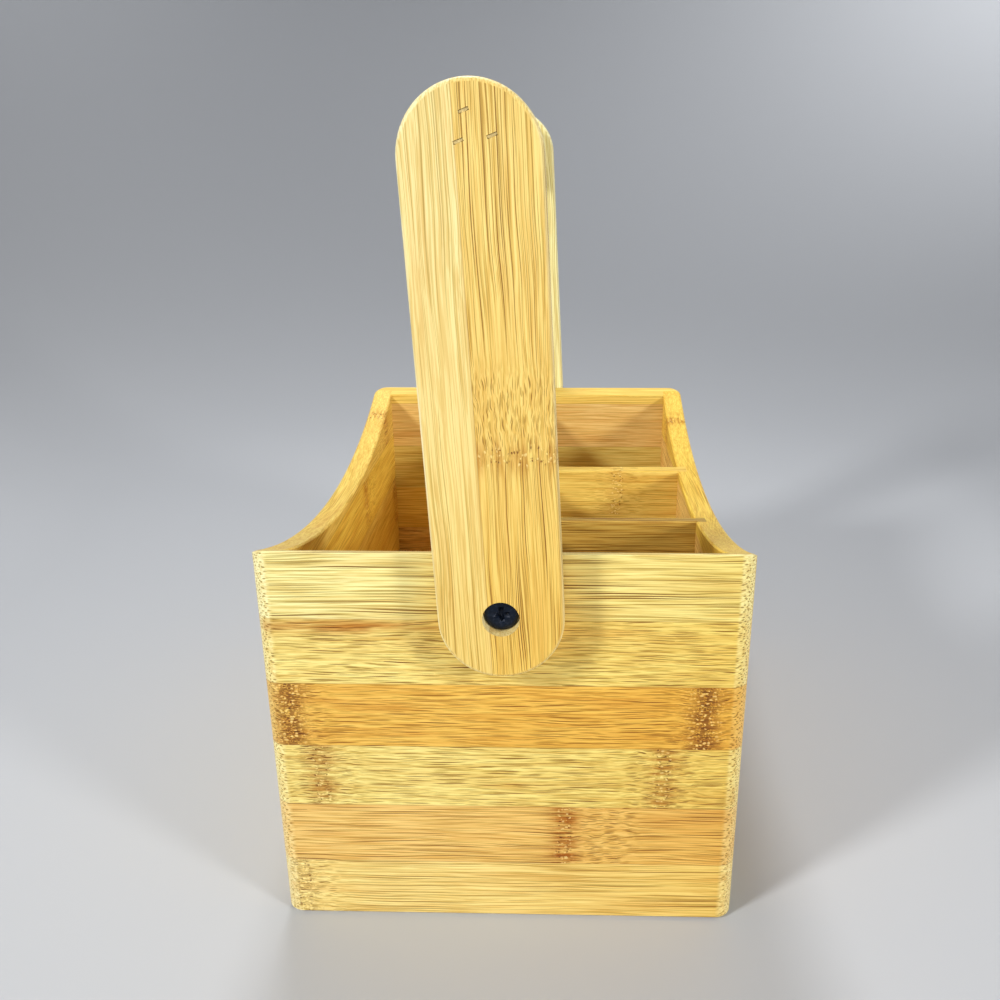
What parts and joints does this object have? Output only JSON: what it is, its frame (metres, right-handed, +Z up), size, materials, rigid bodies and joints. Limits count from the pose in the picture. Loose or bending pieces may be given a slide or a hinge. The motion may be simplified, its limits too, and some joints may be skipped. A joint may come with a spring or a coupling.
{
  "type": "utensil caddy",
  "caption": "Bamboo utensil caddy with a scooped rim, cutlery compartments, a swinging bar handle and a drawer under the compartments.",
  "frame": {"origin": "middle of the underside", "axes": "+Z up, Y along the caddy with the near end at -Y, the drawer opens towards +X"},
  "size_m": [0.16, 0.2442, 0.2775],
  "materials": {
    "bamboo_box": "clear satin bamboo",
    "bamboo_drawer": "clear satin bamboo",
    "bamboo_handle": "clear satin bamboo",
    "black_screw": "black oxide, semi-gloss",
    "brad_steel": "dull zinc",
    "washer_nylon": "natural"
  },
  "bodies": {
    "caddy": {"near_end_panel": "bamboo_box", "far_end_panel": "bamboo_box", "left_side_wall": "bamboo_box", "right_side_wall": "bamboo_box", "lengthwise_divider": "bamboo_box", "cross_divider_near": "bamboo_box", "cross_divider_far": "bamboo_box", "compartment_floor": "bamboo_box", "base_panel": "bamboo_box", "pivot_screw_near": "black_screw", "pivot_screw_far": "black_screw", "pivot_washer_near": "washer_nylon", "pivot_washer_far": "washer_nylon"},
    "drawer": {"drawer_front": "bamboo_drawer", "drawer_back": "bamboo_drawer", "drawer_side_near": "bamboo_drawer", "drawer_side_far": "bamboo_drawer", "drawer_bottom": "bamboo_drawer"},
    "handle": {"handle_arm_near": "bamboo_handle", "handle_arm_far": "bamboo_handle", "handle_bar": "bamboo_handle", "handle_brads_near": "brad_steel", "handle_brads_far": "brad_steel"}
  },
  "joints": [
    {"name": "handle_swing", "type": "hinge", "parent": "caddy", "child": "handle", "pos_m": [0, 0, 0.124], "axis": [0, 1, 0], "range_deg": [-136, 107]},
    {"name": "drawer_slide", "type": "slide", "parent": "caddy", "child": "drawer", "axis": [1, 0, 0], "range_m": [0, 0.11]}
  ]
}
